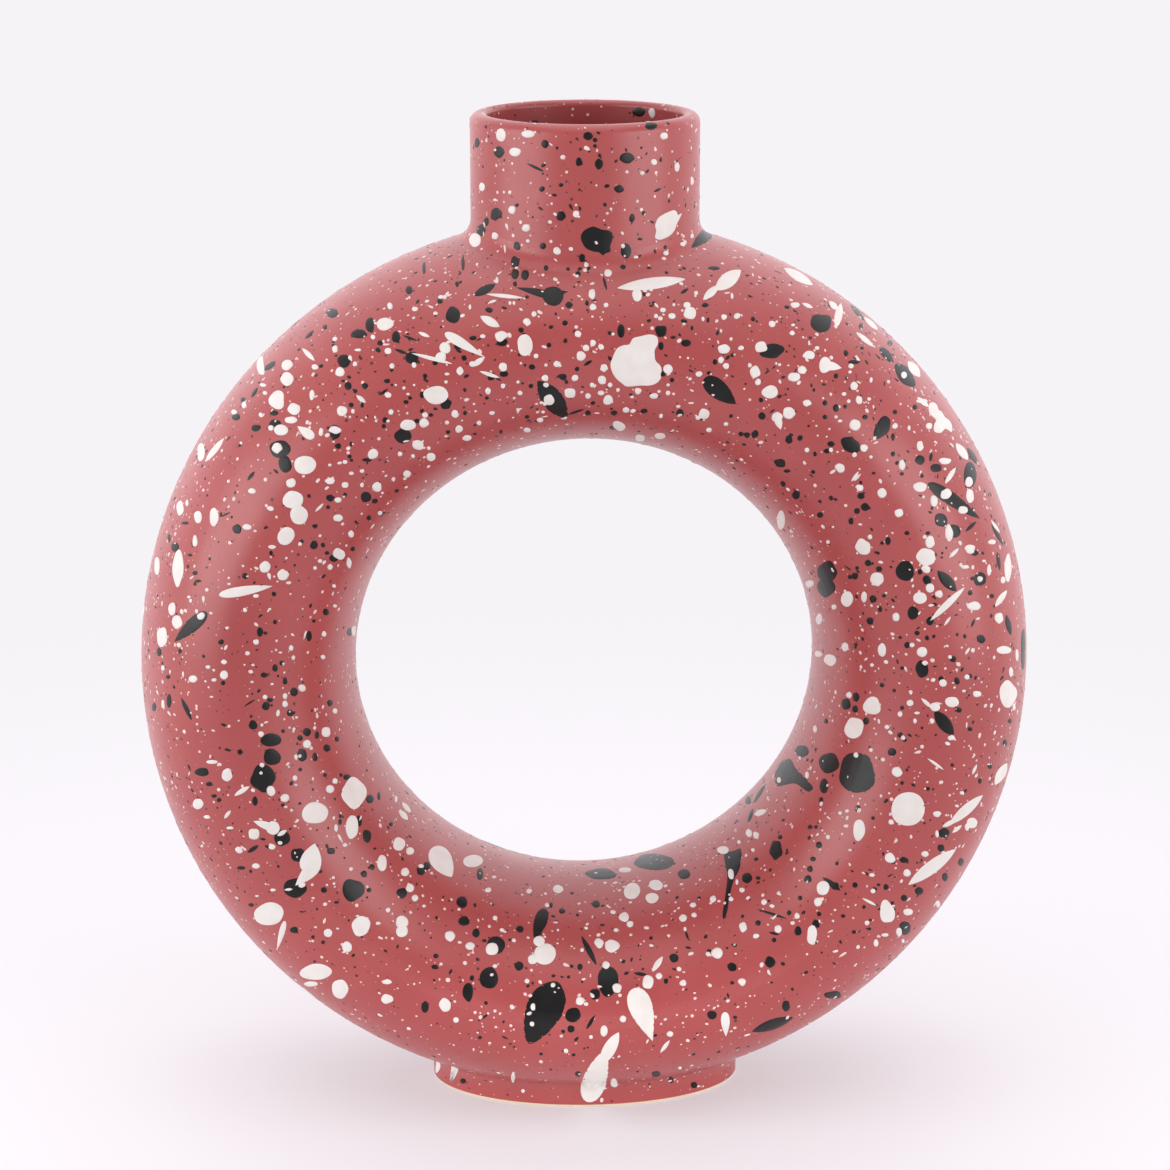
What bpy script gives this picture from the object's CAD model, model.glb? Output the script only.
# %% [markdown]
# # A ring vase with a splattered glaze
# The vase is a hollow clay ring on a small oval foot, with a short round neck. One coat of satin
# pink glaze covers it, and drops of white and black glaze were flung over that from a loaded brush.
# The solids come from the CAD model, which fixes every size. This lesson gives them their finishes
# and lays the drops on them. All lengths are metres.

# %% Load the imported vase
import math
import random

import bpy
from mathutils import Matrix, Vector
from mathutils.bvhtree import BVHTree


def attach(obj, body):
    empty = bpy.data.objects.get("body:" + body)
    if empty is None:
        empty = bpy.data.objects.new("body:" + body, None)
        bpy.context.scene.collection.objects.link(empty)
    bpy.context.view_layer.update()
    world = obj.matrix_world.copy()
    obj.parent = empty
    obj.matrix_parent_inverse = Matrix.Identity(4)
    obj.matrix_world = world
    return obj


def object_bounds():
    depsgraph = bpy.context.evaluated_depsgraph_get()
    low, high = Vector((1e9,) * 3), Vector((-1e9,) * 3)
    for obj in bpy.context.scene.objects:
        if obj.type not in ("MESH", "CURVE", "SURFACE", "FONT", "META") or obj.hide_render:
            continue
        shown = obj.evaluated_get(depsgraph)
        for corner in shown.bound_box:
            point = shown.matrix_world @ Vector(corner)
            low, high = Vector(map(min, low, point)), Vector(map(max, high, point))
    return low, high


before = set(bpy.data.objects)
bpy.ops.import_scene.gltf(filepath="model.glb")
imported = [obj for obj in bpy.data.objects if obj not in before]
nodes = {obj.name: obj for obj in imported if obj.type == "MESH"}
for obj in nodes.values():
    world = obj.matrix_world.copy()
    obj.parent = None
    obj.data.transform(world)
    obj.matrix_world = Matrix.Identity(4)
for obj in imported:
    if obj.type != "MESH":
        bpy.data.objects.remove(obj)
cad_low, cad_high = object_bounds()
print("CAD box in mm:", [round(1000 * side, 1) for side in cad_high - cad_low])

# %% [markdown]
# ## The camera
# The photograph was taken from a little above, about two degrees left of straight ahead. A camera's
# place can be guessed by eye, but here it was fitted to the outlines of the ring, its hole, the
# mouth and the foot. The same numbers later turn a pixel of the photograph into a ray, so that a
# drop read from the picture lands on the glaze where it belongs.

# %% Set up the camera
photo_side = 1170
photo_middle = photo_side / 2
focal_pixels = 3408
camera_distance = 0.8325
camera_height = 0.3495
camera_pitch = 0.2558
camera_turn = 0.039
sensor_mm = 36

eye = Vector((-math.sin(camera_turn), -math.cos(camera_turn), 0)) * camera_distance
eye.z = camera_height
level = Vector((math.sin(camera_turn), math.cos(camera_turn), 0))
forward = level * math.cos(camera_pitch) - Vector((0, 0, math.sin(camera_pitch)))
right = Vector((math.cos(camera_turn), -math.sin(camera_turn), 0))
up = right.cross(forward)

camera_data = bpy.data.cameras.new("photo_camera")
camera_data.sensor_width = sensor_mm
camera_data.lens = sensor_mm * focal_pixels / photo_side
camera = bpy.data.objects.new("photo_camera", camera_data)
bpy.context.scene.collection.objects.link(camera)
camera.location = eye
camera.rotation_mode = "QUATERNION"
camera.rotation_quaternion = forward.to_track_quat("-Z", "Y")
bpy.context.scene.camera = camera


def pixel_ray(x, y):
    """The direction in which the camera sees a pixel of the photograph."""
    across = right * ((x - photo_middle) / focal_pixels)
    down = up * ((y - photo_middle) / focal_pixels)
    return (forward + across - down).normalized()


print("Camera at", [round(place, 3) for place in eye], "lens", round(camera_data.lens, 1), "mm")

# %% [markdown]
# ## Writing materials as sums
# Node trees are easier to read as arithmetic. One small class wraps a node's output, so that adding
# or multiplying two of them adds the Math node. Everything else comes from its one `node` method:
# a type, then its settings, then the values or links of its sockets.

# %% Wrap a shader socket
class Value:
    """One output of a shader node. Arithmetic on it adds Math nodes to the same tree."""

    def __init__(self, socket):
        self.socket = socket
        self.tree = socket.id_data

    @staticmethod
    def node(tree, kind, settings=None, sockets=None, output=0):
        """Adds a node with its settings and sockets, and gives one of its outputs."""
        made = tree.nodes.new(kind)
        for name, setting in (settings or {}).items():
            setattr(made, name, setting)
        for name, given in (sockets or {}).items():
            if isinstance(given, Value):
                tree.links.new(given.socket, made.inputs[name])
            else:
                made.inputs[name].default_value = given
        return Value(made.outputs[output]) if made.outputs else None

    def maths(self, operation, first, second, clamp=False):
        """A Math node on two numbers or values."""
        settings = {"operation": operation, "use_clamp": clamp}
        return Value.node(self.tree, "ShaderNodeMath", settings, {0: first, 1: second})

    def __add__(self, other):
        return self.maths("ADD", self, other)

    def __sub__(self, other):
        return self.maths("SUBTRACT", self, other)

    def __rsub__(self, other):
        return self.maths("SUBTRACT", other, self)

    def __mul__(self, other):
        return self.maths("MULTIPLY", self, other)

    def __gt__(self, other):
        return self.maths("GREATER_THAN", self, other)

    __radd__ = __add__

    def clamped(self):
        """This value held between 0 and 1."""
        return self.maths("ADD", self, 0.0, clamp=True)

    def mix(self, low, high):
        """The colour low where this value is 0 and high where it is 1."""
        # The Mix node keeps its colours in sockets 6 and 7 and gives them at output 2.
        sockets = {0: self, 6: low, 7: high}
        return Value.node(self.tree, "ShaderNodeMix", {"data_type": "RGBA"}, sockets, output=2)


def new_tree(name):
    """An empty material tree and the material that it belongs to."""
    material = bpy.data.materials.new(name)
    material.use_nodes = True
    material.node_tree.nodes.clear()
    return material, material.node_tree


def show(tree, shader):
    """Sends a shader to the material's output."""
    Value.node(tree, "ShaderNodeOutputMaterial", sockets={"Surface": shader})


def colour(red, green, blue):
    """A screen colour, 0 to 255, as the linear colour that shaders use, by the sRGB curve."""
    shares = [channel / 255 for channel in (red, green, blue)]
    linear = [s / 12.92 if s <= 0.04045 else ((s + 0.055) / 1.055) ** 2.4 for s in shares]
    return (*linear, 1.0)


def noise(tree, place, size, detail=2.0):
    """Smooth noise from 0 to 1 whose features are about size across."""
    sockets = {"Vector": place, "Scale": 1 / size, "Detail": detail}
    return Value.node(tree, "ShaderNodeTexNoise", sockets=sockets)


def object_place(tree):
    """Where a point is on the vase, in metres."""
    return Value.node(tree, "ShaderNodeTexCoord", output="Object")


print("Shader helpers are ready")

# %% [markdown]
# ## The pink glaze and its finest mist
# The glaze is a satin pink red. It is soft rather than mirror bright, and its colour drifts a
# little where the coat lies thicker. The finest spray dried as specks under a millimetre wide, far
# too many to model one by one, so the material draws them: each cell of a Voronoi texture holds a
# ball of its own random size, and a speck shows where a ball meets the surface.

# %% Mix the pink glaze
pink = colour(162, 71, 71)
thick_pink = colour(152, 61, 61)
pale_speck = colour(227, 199, 193)
dark_speck = colour(66, 28, 30)
speck_edge = 0.00006
drift_size = 0.03
cloud_size = 0.012
ripple_size = 0.0035
ripple_share = 0.5
thick_from = 0.3
thick_gain = 1.6
cloud_middle = 0.5
cloud_gain = 0.8
speck_cover = 0.9
fine_dark_cover = 0.75
fine_pale_cover = 0.7
glaze_roughness = 0.31
cloud_roughness = 0.08
glaze_index = 1.5


def specks(tree, place, spacing, largest, share, drift):
    """A mask of round specks up to the radius largest, in a share of the cells."""
    cells = {"Vector": place, "Scale": 1 / spacing}
    distance = Value.node(tree, "ShaderNodeTexVoronoi", sockets=cells)
    shade = Value.node(tree, "ShaderNodeTexVoronoi", sockets=cells, output="Color")
    size, chance = [
        Value.node(tree, "ShaderNodeSeparateColor", sockets={"Color": shade}, output=part)
        for part in ("Red", "Green")
    ]
    radius = size * (largest / spacing)
    inside = ((radius - distance) * (spacing / speck_edge)).clamped()
    chosen = (drift * (2 * share)) > chance
    return inside * chosen


def glaze_material(name, thick, thin):
    """Satin glaze with drifting colour and a mist of pale and dark specks."""
    material, tree = new_tree(name)
    place = object_place(tree)
    drift = noise(tree, place, drift_size)
    cloud = noise(tree, place, cloud_size, detail=3.0)
    pale = specks(tree, place, spacing=0.0018, largest=0.00048, share=0.30, drift=cloud)
    fine_pale = specks(tree, place, spacing=0.0011, largest=0.00026, share=0.32, drift=drift)
    dark = specks(tree, place, spacing=0.0020, largest=0.00046, share=0.34, drift=1 - cloud)
    fine_dark = specks(tree, place, spacing=0.0012, largest=0.00026, share=0.34, drift=1 - drift)
    thickness = (drift - thick_from) * thick_gain + (cloud - cloud_middle) * cloud_gain
    body = thickness.clamped().mix(thin, thick)
    body = (dark * speck_cover).mix(body, dark_speck)
    body = (fine_dark * fine_dark_cover).mix(body, dark_speck)
    body = (fine_pale * fine_pale_cover).mix(body, pale_speck)
    body = (pale * speck_cover).mix(body, pale_speck)
    ripple = noise(tree, place, ripple_size, detail=1.0)
    height = ripple * ripple_share + pale + dark
    bump = {"Height": height, "Strength": 0.18, "Distance": 0.00006}
    normal = Value.node(tree, "ShaderNodeBump", sockets=bump)
    finish = {
        "Base Color": body,
        "Roughness": glaze_roughness + cloud * cloud_roughness,
        "Normal": normal,
        "IOR": glaze_index,
    }
    show(tree, Value.node(tree, "ShaderNodeBsdfPrincipled", sockets=finish))
    return material


splatter_glaze = glaze_material("splatter_glaze", thick_pink, pink)
liner_glaze = glaze_material("liner_glaze", thick_pink, pink)
nodes["glaze_coat"].data.materials[0] = splatter_glaze
nodes["liner_glaze"].data.materials[0] = liner_glaze
print("Glaze on", nodes["glaze_coat"].name, "and", nodes["liner_glaze"].name)

# %% [markdown]
# ## Bare clay and joining slip
# Only the rim under the foot is left bare, because glaze there would stick to the kiln shelf. The
# clay is cream, matt and slightly gritty. The slip that joins the parts is the same clay let down
# with water, so it is smoother and a shade darker. Noise at two sizes gives the grain.

# %% Mix the clay and the slip
cream = colour(224, 206, 184)
toasted = colour(198, 170, 142)
clay_grain = 0.0008
slip_grain = 0.0004
flush_size = 0.015
flush_share = 0.6
clay_roughness = 0.75
grit_roughness = 0.2


def clay_material(name, pale, warm, grain):
    """Matt fired clay whose grains are about grain across."""
    material, tree = new_tree(name)
    place = object_place(tree)
    flush = noise(tree, place, flush_size)
    grit = noise(tree, place, grain, detail=4.0)
    body = (flush * flush_share + grit * (1 - flush_share)).mix(pale, warm)
    bump = {"Height": grit, "Strength": 0.5, "Distance": 0.0001}
    finish = {
        "Base Color": body,
        "Roughness": clay_roughness + grit * grit_roughness,
        "Normal": Value.node(tree, "ShaderNodeBump", sockets=bump),
    }
    show(tree, Value.node(tree, "ShaderNodeBsdfPrincipled", sockets=finish))
    return material


clay = clay_material("clay", cream, toasted, clay_grain)
slip = clay_material("joining_slip", toasted, cream, slip_grain)
for name in ("ring_front_half", "ring_back_half", "neck", "foot"):
    nodes[name].data.materials[0] = clay
for name in ("ring_joint_slip", "neck_joint_slip", "foot_joint_slip"):
    nodes[name].data.materials[0] = slip
print("Clay and slip mixed")

# %% [markdown]
# ## White and black drop glazes
# The drops are opaque glazes. White goes a little pink where it is thin, and black goes brown, so
# each colour drifts between a thick and a thin tone. Small drops are thinner all over, so they get
# a mix of their own, with more of the thin tone.

# %% Mix the drop glazes
veil_size = 0.004
veil_from = 0.35
veil_gain = 2.2
veil_roughness = 0.1
drop_index = 1.4
white_roughness = 0.44
black_roughness = 0.34
thin_black_roughness = 0.36


def drop_material(name, thick, thin, roughness):
    """Opaque glaze that drifts between its thick and its thin tone."""
    material, tree = new_tree(name)
    place = object_place(tree)
    veil = noise(tree, place, veil_size, detail=3.0)
    finish = {
        "Base Color": ((veil - veil_from) * veil_gain).clamped().mix(thick, thin),
        "Roughness": roughness + veil * veil_roughness,
        "IOR": drop_index,
    }
    show(tree, Value.node(tree, "ShaderNodeBsdfPrincipled", sockets=finish))
    return material


white_glaze = drop_material(
    "white_glaze", colour(216, 211, 207), colour(210, 200, 195), white_roughness
)
thin_white_glaze = drop_material(
    "thin_white_glaze", colour(218, 206, 202), colour(208, 182, 178), white_roughness
)
black_glaze = drop_material("black_glaze", colour(9, 9, 10), colour(17, 14, 14), black_roughness)
thin_black_glaze = drop_material(
    "thin_black_glaze", colour(24, 14, 14), colour(46, 21, 21), thin_black_roughness
)
print("Drop glazes mixed")

# %% [markdown]
# ## The shape of one drop
# A drop of glaze melts into a low dome with a round edge. It could be painted by a texture, but on
# the real vase a fingertip feels each one, so each is a small closed mesh. Its outline is drawn
# flat. Rings of points inside it are then laid on the glaze one by one, and lifted by the height of
# the dome there. The edge is sunk a little, so that no gap shows.

# %% Lay one drop on the glaze
ring_spacing = 0.0012
most_rings = 10
edge_sink = 0.00003
under_sink = 0.00010
dome_power = 2.4


def ring_shares(size):
    """Ring sizes from the edge in, as shares of the outline, close together near the edge."""
    count = min(most_rings, round(size / ring_spacing) + 1)
    return [math.cos(math.pi / 2 * ring / count) for ring in range(count)]


class DropMesh:
    """Collects many drops as one mesh."""

    def __init__(self, name):
        self.name = name
        self.points = []
        self.faces = []
        self.count = 0

    def add(self, lay, outline, size, height):
        """Adds a drop. lay gives the place and normal on the glaze of a flat offset from its middle."""
        rings = ring_shares(size)
        spots = [lay(u * share, v * share) for share in rings for u, v in outline]
        spots.append(lay(0, 0))
        if None in spots:
            return False
        lifts = [height * math.sqrt(1 - share**dome_power) for share in rings for _ in outline]
        lifts.append(height)
        start = len(self.points)
        for (place, normal), lift in zip(spots, lifts):
            self.points.append(place + normal * (lift - edge_sink))
        middle, normal = spots[-1]
        self.points.append(middle - normal * under_sink)
        around = len(outline)
        last = start + (len(rings) - 1) * around
        top = last + around
        faces = []
        turn = 0
        for k in range(around):
            following = (k + 1) % around
            turn += (spots[k][0] - middle).cross(spots[following][0] - middle).dot(normal)
            for ring in range(start, last, around):
                faces.append((ring + k, ring + following, ring + around + following, ring + around + k))
            faces.append((last + k, last + following, top))
            faces.append((start + following, start + k, top + 1))
        self.faces += faces if turn > 0 else [face[::-1] for face in faces]
        self.count += 1
        return True

    def build(self, material):
        """Makes the Blender object, smooth shaded, riding on the vase."""
        mesh = bpy.data.meshes.new(self.name)
        mesh.from_pydata(self.points, [], self.faces)
        mesh.polygons.foreach_set("use_smooth", [True] * len(self.faces))
        mesh.materials.append(material)
        piece = bpy.data.objects.new(self.name, mesh)
        bpy.context.scene.collection.objects.link(piece)
        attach(piece, "root")
        print(self.name, self.count, "drops,", len(mesh.polygons), "faces")


print("Rings in a drop 2 mm and 20 mm wide:", len(ring_shares(0.001)), len(ring_shares(0.010)))

# %% [markdown]
# ## Outlines
# Three formulas cover most of what a brush throws: a blob that is nearly round, with a little
# seeded unevenness, a tear with a head and a tail where a drop slid on landing, and a lens pointed
# at both ends where it landed at a slant. A drop of any other shape is drawn by its corners, with
# a smooth curve through them. Each outline is a list of flat offsets from the drop's middle or head.

# %% Draw the outlines
rng = random.Random(41)
fewest_corners = 8
most_corners = 44
corners_per_metre = 6000
spare_corners = 3
blob_waves = (2, 3, 4, 5)
tear_samples = 60
lens_power = 0.7


def corner_count(size):
    """How many outline points a drop of that size in metres needs."""
    return max(fewest_corners, min(most_corners, round(corners_per_metre * size) + spare_corners))


def blob(width, height, uneven, count):
    """A closed, nearly round outline of that width and height."""
    waves = [(k, rng.gauss(0, uneven / k), rng.uniform(0, math.tau)) for k in blob_waves]
    outline = []
    for step in range(count):
        angle = math.tau * step / count
        radius = 1 + sum(size * math.cos(k * angle + turn) for k, size, turn in waves)
        outline.append((radius * math.cos(angle) * width / 2, radius * math.sin(angle) * height / 2))
    return outline


def tear(length, width, point, count):
    """A head at 0 and a tail along +x. A larger point draws a longer, sharper tail."""
    angles = [math.pi * k / tear_samples for k in range(tear_samples + 1)]
    widest = max(math.sin(angle) * math.sin(angle / 2) ** point for angle in angles)
    outline = []
    for step in range(count):
        angle = math.tau * step / count
        along = length / 2 * (1 + math.cos(angle))
        across = width / 2 * math.sin(angle) * abs(math.sin(angle / 2)) ** point / widest
        outline.append((along, across))
    return outline


def lens(length, width, count):
    """A streak from 0 to length along +x, pointed at both ends."""
    outline = []
    for step in range(count):
        angle = math.tau * step / count
        along = length / 2 * (1 + math.cos(angle))
        across = width / 2 * math.sin(angle) * abs(math.sin(angle)) ** lens_power
        outline.append((along, across))
    return outline


def drawn(corners, steps):
    """The middle of a drawn outline, and a Catmull-Rom curve through its corners round that middle."""
    middle_x = sum(x for x, _ in corners) / len(corners)
    middle_y = sum(y for _, y in corners) / len(corners)
    points = [Vector((x - middle_x, y - middle_y)) for x, y in corners]
    outline = []
    for k, start in enumerate(points):
        before = points[k - 1]
        end = points[(k + 1) % len(points)]
        after = points[(k + 2) % len(points)]
        for step in range(steps):
            t = step / steps
            bend = (2 * before - 5 * start + 4 * end - after) * t**2
            twist = (3 * start - before - 3 * end + after) * t**3
            outline.append(tuple(start + ((end - before) * t + bend + twist) / 2))
    return middle_x, middle_y, outline


print("Outlines: blob, tear, lens and drawn")

# %% [markdown]
# ## The drops that the photograph shows
# The drops that catch the eye were read from the photograph one by one, by eye, and are written
# here by the part of the vase that carries them. A round drop is its middle, its width and, if
# that differs, its height in pixels. A tear is its head, its tail's end, its width and how pointed
# it is. A streak is its two ends and its width. Drops of other shapes are drawn corner by corner.
# The camera's ray through each pixel finds its place on the glaze.

# %% Read the round white drops
def how_many(*tables):
    """The number of drops in tables that are sorted by part."""
    return sum(len(there) for table in tables for there in table.values())


white_rounds = {
    "neck": [
        (492, 135, 11, 15), (519, 134, 14, 9), (655, 136, 9), (506, 152, 13, 10), (645, 162, 7, 8),
        (668, 167, 6, 11), (503, 210, 9, 10), (567, 214, 7, 9), (517, 228, 10, 9), (466, 240, 13, 15),
        (486, 236, 8, 9), (548, 251, 9), (643, 113, 8, 11), (618, 172, 5), (473, 187, 7, 10),
        (562, 249, 6, 5), (541, 222, 5), (657, 253, 7, 6), (674, 244, 7, 6), (683, 181, 4, 10),
        (683, 236, 5, 6), (486, 200, 5, 4), (567, 205, 4), (602, 209, 4, 5), (519, 241, 5),
        (614, 246, 5, 6), (627, 257, 6, 4),
    ],
    "top": [
        (690, 313, 14), (608, 273, 9), (637, 295, 11, 14), (527, 322, 9), (549, 400, 12),
        (570, 393, 13, 11), (525, 345, 18, 22), (501, 336, 14, 12), (436, 395, 27, 19), (445, 348, 13),
        (503, 367, 10), (581, 356, 11), (586, 348, 8), (668, 369, 11), (724, 349, 14, 11),
        (704, 414, 12), (619, 426, 13, 11), (608, 400, 11), (602, 380, 10), (660, 436, 12, 7),
        (640, 438, 11, 8), (424, 423, 11), (459, 429, 9), (455, 414, 9), (467, 438, 10, 7),
        (431, 457, 10), (755, 372, 12, 14), (441, 297, 7, 5), (497, 280, 4, 8), (510, 303, 4, 5),
        (514, 303, 4, 5), (534, 314, 6, 7), (470, 307, 4, 6), (415, 309, 7, 6), (592, 294, 8, 12),
        (593, 307, 8), (585, 270, 5), (577, 276, 5, 4), (578, 334, 8), (593, 343, 7, 8), (557, 364, 8),
        (546, 365, 5), (536, 356, 6), (508, 346, 4), (460, 371, 8, 10), (473, 364, 9, 7),
        (441, 357, 12), (488, 391, 7, 8), (503, 386, 6), (520, 393, 6), (518, 382, 5), (545, 378, 8),
        (546, 385, 7, 6), (545, 404, 5), (575, 378, 8), (588, 396, 7), (592, 385, 6), (527, 430, 8, 6),
        (479, 423, 6), (425, 415, 7), (414, 385, 4), (404, 388, 5), (408, 394, 5, 4), (446, 382, 5),
        (447, 374, 6, 4), (518, 410, 5), (543, 412, 5, 4), (540, 420, 8, 6), (492, 413, 7, 5),
        (474, 404, 4), (414, 365, 6, 7), (696, 293, 5, 6), (651, 289, 5, 6), (732, 296, 4, 7),
        (687, 305, 9, 7), (684, 324, 5, 4), (672, 316, 9, 7), (656, 316, 6, 5), (663, 310, 7, 6),
        (724, 317, 7), (737, 316, 8, 7), (703, 319, 4, 6), (772, 324, 8), (741, 348, 7, 6),
        (721, 360, 7, 8), (726, 366, 8, 7), (758, 382, 7, 8), (698, 418, 6, 5), (706, 404, 4),
        (709, 430, 7, 6), (726, 424, 6, 5), (699, 374, 8, 7), (690, 379, 5), (688, 358, 4),
        (721, 331, 4, 5), (601, 347, 7), (604, 368, 9), (610, 385, 6), (618, 390, 5), (601, 393, 8, 6),
        (638, 391, 8), (654, 396, 10, 7), (668, 393, 6), (668, 385, 5), (632, 397, 5, 4),
        (626, 410, 8, 7), (633, 411, 7, 5), (661, 416, 5, 6), (613, 334, 5), (629, 329, 4),
        (606, 305, 6),
    ],
    "upper left": [
        (385, 324, 18, 14), (340, 372, 11), (287, 365, 13, 11), (287, 379, 14, 15), (277, 400, 17, 20),
        (294, 409, 14, 13), (291, 420, 14, 8), (281, 430, 16, 12), (277, 448, 12), (305, 465, 24, 20),
        (342, 411, 12), (408, 425, 16, 13), (373, 454, 12), (291, 483, 11), (293, 500, 21),
        (299, 515, 20), (286, 536, 19), (407, 474, 9), (377, 487, 11), (201, 452, 8, 20),
        (260, 364, 8, 20), (335, 430, 14, 9), (390, 306, 7, 8), (335, 339, 6), (335, 349, 7, 9),
        (358, 350, 8, 4), (373, 337, 6), (388, 351, 8), (392, 366, 6, 7), (315, 367, 8, 7),
        (355, 364, 6), (312, 395, 6, 12), (263, 385, 7, 5), (265, 393, 6, 5), (244, 405, 6, 8),
        (234, 412, 7, 6), (261, 415, 6), (271, 428, 7), (321, 432, 6, 9), (350, 417, 4),
        (388, 395, 8, 7), (391, 412, 6, 7), (388, 421, 5), (376, 421, 4), (418, 445, 12), (413, 456, 5),
        (400, 454, 6), (345, 462, 6, 5), (362, 471, 6, 5), (330, 481, 11, 8), (345, 485, 8),
        (362, 485, 5, 6), (338, 500, 8, 7), (380, 513, 6), (270, 508, 8, 5), (252, 491, 9, 7),
        (241, 443, 4),
    ],
    "left": [
        (265, 567, 13), (283, 575, 13), (178, 568, 12, 37), (198, 517, 9, 14), (214, 517, 10, 20),
        (201, 616, 9), (177, 622, 12, 14), (162, 637, 12, 20), (172, 609, 8, 15), (339, 554, 13),
        (349, 563, 6, 12), (338, 518, 11, 9), (351, 534, 7, 9), (247, 527, 11, 7), (256, 642, 7),
        (224, 675, 10), (193, 679, 10, 9), (302, 688, 9), (326, 732, 10, 12), (307, 744, 10),
        (180, 508, 8, 16), (187, 503, 4, 8), (255, 531, 5, 4), (195, 541, 6, 13), (157, 566, 6, 20),
        (272, 547, 9, 5), (229, 584, 5, 4), (243, 566, 4), (256, 596, 7, 5), (271, 509, 7, 5),
        (300, 544, 5), (320, 561, 6, 5), (315, 568, 5), (330, 567, 7), (334, 586, 5), (335, 606, 5),
        (324, 634, 6, 7), (323, 657, 6), (354, 631, 6, 12), (245, 610, 5, 6), (270, 609, 4),
        (291, 648, 6, 7), (276, 650, 4), (224, 662, 7, 6), (208, 667, 6, 5), (214, 680, 6, 5),
        (253, 665, 5, 4), (252, 682, 5, 4), (265, 697, 6), (285, 696, 6, 7), (285, 704, 7, 8),
        (278, 713, 5, 8), (335, 711, 6, 7), (163, 668, 5, 7), (182, 612, 5, 6), (179, 645, 6),
        (163, 704, 4, 10), (189, 597, 5, 4), (262, 725, 5), (261, 734, 7), (294, 729, 4, 5),
        (296, 757, 5, 7),
    ],
    "lower left": [
        (271, 791, 10, 12), (227, 775, 12, 14), (212, 762, 13, 5), (198, 804, 12), (285, 798, 10),
        (354, 793, 25, 32), (315, 813, 27, 24), (330, 789, 10), (352, 827, 13, 27), (273, 828, 15),
        (254, 834, 13), (382, 863, 11, 18), (399, 844, 13, 15), (410, 851, 9), (405, 872, 10),
        (410, 888, 10), (269, 914, 31, 24), (361, 926, 20, 22), (328, 933, 10), (402, 922, 14),
        (402, 931, 14), (347, 947, 12), (316, 972, 31, 18), (340, 989, 18, 20), (311, 984, 15, 6),
        (387, 999, 13, 11), (387, 982, 11, 6), (262, 765, 6), (261, 773, 5), (295, 778, 6, 7),
        (296, 785, 5, 4), (335, 781, 7), (336, 828, 5, 9), (295, 826, 5, 4), (280, 843, 6, 5),
        (272, 847, 8, 7), (239, 850, 9, 8), (207, 817, 8, 5), (230, 828, 9, 4), (256, 866, 9, 7),
        (415, 898, 8), (421, 866, 7, 5), (351, 869, 5), (345, 845, 6, 5), (295, 853, 3, 4),
        (297, 857, 3), (302, 885, 8, 7), (273, 890, 7, 4), (388, 910, 6), (257, 896, 5, 3),
        (424, 906, 5, 4), (327, 885, 4), (202, 846, 4), (396, 799, 4, 8),
    ],
    "upper right": [
        (761, 347, 14, 12), (770, 392, 18, 14), (794, 377, 14, 11), (802, 370, 10), (825, 365, 14, 17),
        (809, 355, 14, 9), (922, 401, 13, 5), (864, 448, 9), (855, 425, 13), (789, 413, 14),
        (777, 417, 12), (807, 403, 10, 8), (859, 400, 8, 10), (840, 468, 11), (882, 493, 11),
        (899, 513, 10), (860, 488, 8), (781, 520, 9, 20), (946, 494, 12), (934, 501, 9, 12),
        (920, 487, 15, 11), (969, 482, 9, 11), (970, 496, 9, 15), (963, 510, 11, 9), (945, 461, 13, 8),
        (920, 446, 8, 11), (902, 465, 8, 12), (795, 305, 10, 7), (817, 348, 6, 5), (793, 325, 5, 4),
        (792, 333, 6), (851, 366, 7, 6), (850, 372, 5, 4), (854, 386, 9, 10), (871, 380, 4, 7),
        (844, 394, 6, 5), (869, 399, 5), (836, 417, 5), (840, 421, 6, 4), (895, 426, 7),
        (909, 428, 4, 7), (929, 426, 8), (904, 375, 7, 8), (871, 457, 5), (831, 450, 5, 6),
        (807, 450, 6), (945, 469, 4), (809, 343, 3, 6),
    ],
    "right": [
        (863, 547, 17), (877, 579, 15), (926, 557, 20), (930, 542, 12), (926, 569, 10),
        (949, 533, 9, 18), (980, 579, 7), (1008, 568, 8, 28), (989, 570, 5, 13), (920, 598, 14),
        (847, 599, 14, 16), (864, 597, 7, 12), (974, 606, 15, 10), (999, 618, 10, 12),
        (819, 619, 8, 11), (830, 660, 13), (845, 647, 9), (882, 650, 10, 14), (922, 652, 12),
        (1004, 650, 16, 9), (1008, 694, 18, 28), (872, 706, 19), (854, 728, 20, 23), (952, 702, 15, 12),
        (935, 707, 12, 10), (943, 683, 9), (910, 703, 8), (870, 537, 6), (828, 542, 5), (833, 527, 4),
        (970, 549, 12, 10), (965, 567, 10, 5), (984, 561, 5, 4), (1003, 580, 6, 8), (930, 588, 10, 11),
        (939, 594, 9), (913, 586, 4, 5), (886, 593, 4), (845, 591, 4), (834, 607, 6, 7),
        (896, 617, 8, 11), (893, 607, 4), (912, 645, 6), (947, 646, 5, 4), (886, 662, 6, 5),
        (872, 665, 5), (861, 667, 4, 5), (925, 663, 7, 6), (950, 657, 5), (967, 677, 7, 6),
        (1011, 672, 5, 11), (1017, 655, 4, 13), (818, 654, 8), (809, 584, 9, 8), (992, 542, 9, 6),
        (849, 695, 7, 8), (887, 727, 6), (900, 714, 6, 7), (915, 721, 5, 6), (917, 713, 7, 4),
        (932, 721, 6, 7), (977, 694, 10, 8), (964, 691, 5, 4), (1014, 707, 4, 8), (951, 738, 8, 6),
        (948, 744, 6, 4), (922, 747, 5), (815, 729, 5, 9), (876, 734, 4),
    ],
    "lower right": [
        (908, 809, 34, 37), (897, 772, 12), (859, 830, 13, 23), (731, 874, 7, 12), (723, 850, 13, 9),
        (972, 823, 12), (890, 858, 12), (907, 873, 9), (823, 888, 14, 16), (818, 902, 10),
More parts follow.
